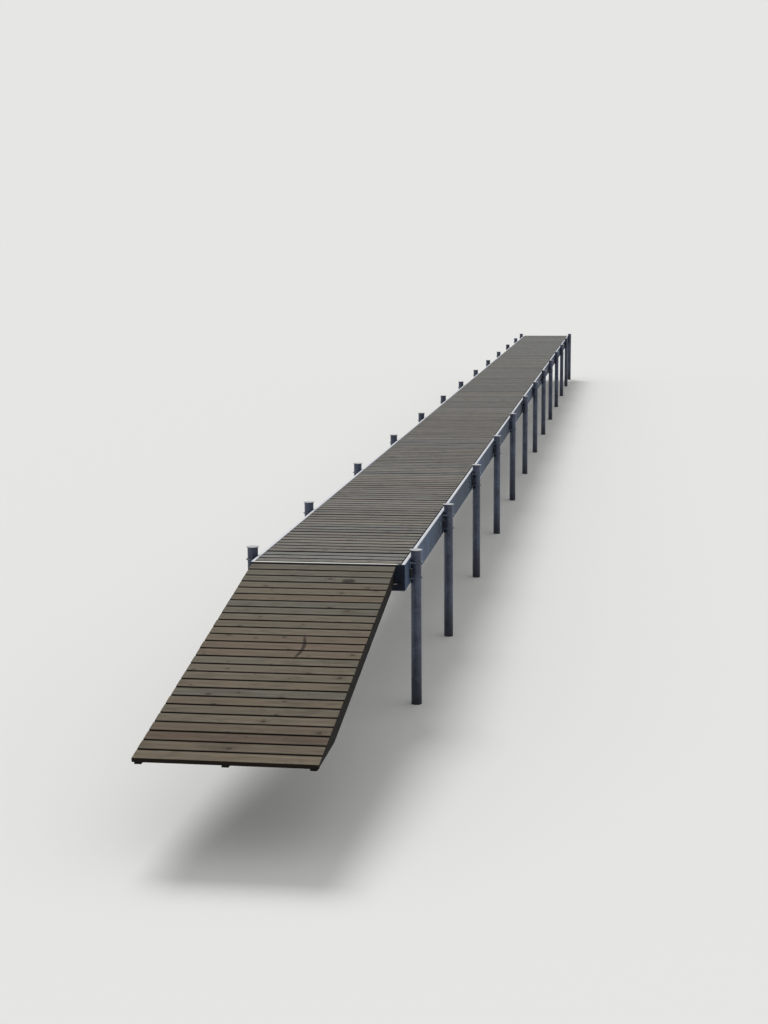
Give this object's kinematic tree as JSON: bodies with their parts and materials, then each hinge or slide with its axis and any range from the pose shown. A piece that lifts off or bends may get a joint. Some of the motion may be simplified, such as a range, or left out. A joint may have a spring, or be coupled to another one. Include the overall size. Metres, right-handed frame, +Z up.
{
  "type": "modular bathing jetty",
  "caption": "Long straight bathing jetty of galvanised steel bays on pairs of round posts, decked crosswise with timber, with a timber ramp at its shore end.",
  "frame": {"origin": "under the middle of the whole length, level with the post feet", "axes": "+Y along the jetty from the shore to the sea, +Z up, +X to the right when facing the sea"},
  "size_m": [1.5024, 38.9476, 1.32],
  "materials": {
    "beam_steel": "hot-dip galvanised, weathered matt",
    "post_steel": "hot-dip galvanised tube, weathered",
    "cap_steel": "galvanised, pale",
    "clamp_steel": "galvanised casting, dull",
    "deck_timber": "pressure-treated pine weathered grey",
    "ramp_timber": "pressure-treated pine, greenish to tan"
  },
  "bodies": {
    "root": {"bay_01_side_beams": "beam_steel", "bay_02_side_beams": "beam_steel", "bay_03_side_beams": "beam_steel", "bay_04_side_beams": "beam_steel", "bay_05_side_beams": "beam_steel", "bay_06_side_beams": "beam_steel", "bay_07_side_beams": "beam_steel", "bay_08_side_beams": "beam_steel", "bay_09_side_beams": "beam_steel", "bay_10_side_beams": "beam_steel", "bay_11_side_beams": "beam_steel", "bay_12_side_beams": "beam_steel", "bay_01_deck": "deck_timber", "bay_02_deck": "deck_timber", "bay_03_deck": "deck_timber", "bay_04_deck": "deck_timber", "bay_05_deck": "deck_timber", "bay_06_deck": "deck_timber", "bay_07_deck": "deck_timber", "bay_08_deck": "deck_timber", "bay_09_deck": "deck_timber", "bay_10_deck": "deck_timber", "bay_11_deck": "deck_timber", "bay_12_deck": "deck_timber", "post_pair_01": "post_steel", "post_pair_02": "post_steel", "post_pair_03": "post_steel", "post_pair_04": "post_steel", "post_pair_05": "post_steel", "post_pair_06": "post_steel", "post_pair_07": "post_steel", "post_pair_08": "post_steel", "post_pair_09": "post_steel", "post_pair_10": "post_steel", "post_pair_11": "post_steel", "post_pair_12": "post_steel", "post_pair_13": "post_steel", "cross_beams": "beam_steel", "splice_plates": "beam_steel", "shore_end_beam": "beam_steel", "sea_end_beam": "beam_steel", "post_caps": "cap_steel", "post_clamps": "clamp_steel", "ramp_deck": "ramp_timber", "ramp_stringers": "ramp_timber", "ramp_ledge": "beam_steel"}
  },
  "joints": []
}
